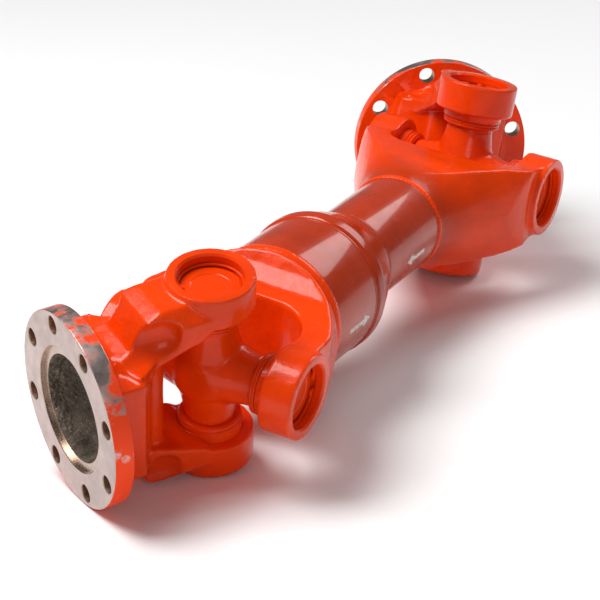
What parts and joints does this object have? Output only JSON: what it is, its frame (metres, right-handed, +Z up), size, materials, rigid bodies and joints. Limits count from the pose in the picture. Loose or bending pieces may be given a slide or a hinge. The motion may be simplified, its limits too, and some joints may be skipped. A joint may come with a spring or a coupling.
{
  "type": "universal joint shaft",
  "caption": "Cardan shaft with a flanged universal joint at each end and a splined telescoping sleeve in the middle, for driving a machine at an angle.",
  "frame": {"origin": "middle of the shaft's length and width, on the floor it lies on", "axes": "+X along the shaft from the sleeve end to the long tube's end, +Z up"},
  "size_m": [0.8796, 0.2542, 0.2095],
  "materials": {
    "red_enamel": "gloss enamel over cast and turned steel",
    "bare_steel": "machined, lightly oiled",
    "bearing_steel": "ground",
    "seal_rubber": "moulded"
  },
  "bodies": {
    "front_shaft": {"front_circlip_left": "red_enamel", "front_circlip_right": "red_enamel", "front_cup_left": "bearing_steel", "front_cup_right": "bearing_steel", "front_needles_left": "bearing_steel", "front_needles_right": "bearing_steel", "front_shaft_yoke": "red_enamel", "seal_gland": "red_enamel", "sleeve_weld": "red_enamel", "spline_hub": "bare_steel", "spline_sleeve": "red_enamel", "wiper_ring": "seal_rubber"},
    "rear_shaft": {"rear_circlip_left": "red_enamel", "rear_circlip_right": "red_enamel", "rear_cup_left": "bearing_steel", "rear_cup_right": "bearing_steel", "rear_needles_left": "bearing_steel", "rear_needles_right": "bearing_steel", "rear_shaft_yoke": "red_enamel", "shaft_tube": "red_enamel", "splined_stub": "bare_steel", "tube_weld": "red_enamel"},
    "front_cross": {"front_cross": "red_enamel", "front_seal_bottom": "red_enamel", "front_seal_left": "red_enamel", "front_seal_right": "red_enamel", "front_seal_top": "red_enamel"},
    "front_flange": {"front_circlip_bottom": "red_enamel", "front_circlip_top": "red_enamel", "front_cup_bottom": "bearing_steel", "front_cup_top": "bearing_steel", "front_flange_yoke": "red_enamel", "front_needles_bottom": "bearing_steel", "front_needles_top": "bearing_steel"},
    "rear_cross": {"rear_cross": "red_enamel", "rear_seal_bottom": "red_enamel", "rear_seal_left": "red_enamel", "rear_seal_right": "red_enamel", "rear_seal_top": "red_enamel"},
    "rear_flange": {"rear_circlip_bottom": "red_enamel", "rear_circlip_top": "red_enamel", "rear_cup_bottom": "bearing_steel", "rear_cup_top": "bearing_steel", "rear_flange_yoke": "red_enamel", "rear_needles_bottom": "bearing_steel", "rear_needles_top": "bearing_steel"}
  },
  "joints": [
    {"name": "slip", "type": "slide", "parent": "front_shaft", "child": "rear_shaft", "axis": [1, 0, -0.0019], "range_m": [-0.015, 0.045]},
    {"name": "front_tilt", "type": "hinge", "parent": "front_shaft", "child": "front_cross", "pos_m": [-0.27605, -0.02515, 0.10506], "axis": [0.0002, 0.9914, 0.1307], "range_deg": [-6.9, 33.1]},
    {"name": "front_swing", "type": "hinge", "parent": "front_cross", "child": "front_flange", "pos_m": [-0.27605, -0.02515, 0.10506], "axis": [-0.225, -0.1273, 0.966], "range_deg": [-1.4, 68.6]},
    {"name": "rear_tilt", "type": "hinge", "parent": "rear_shaft", "child": "rear_cross", "pos_m": [0.27595, -0.02515, 0.10401], "axis": [0.0002, 0.9945, 0.1047], "range_deg": [-30.9, 9.1]},
    {"name": "rear_swing", "type": "hinge", "parent": "rear_cross", "child": "rear_flange", "pos_m": [0.27595, -0.02515, 0.10401], "axis": [0.1904, -0.1028, 0.9763], "range_deg": [-67.2, 2.8]}
  ]
}
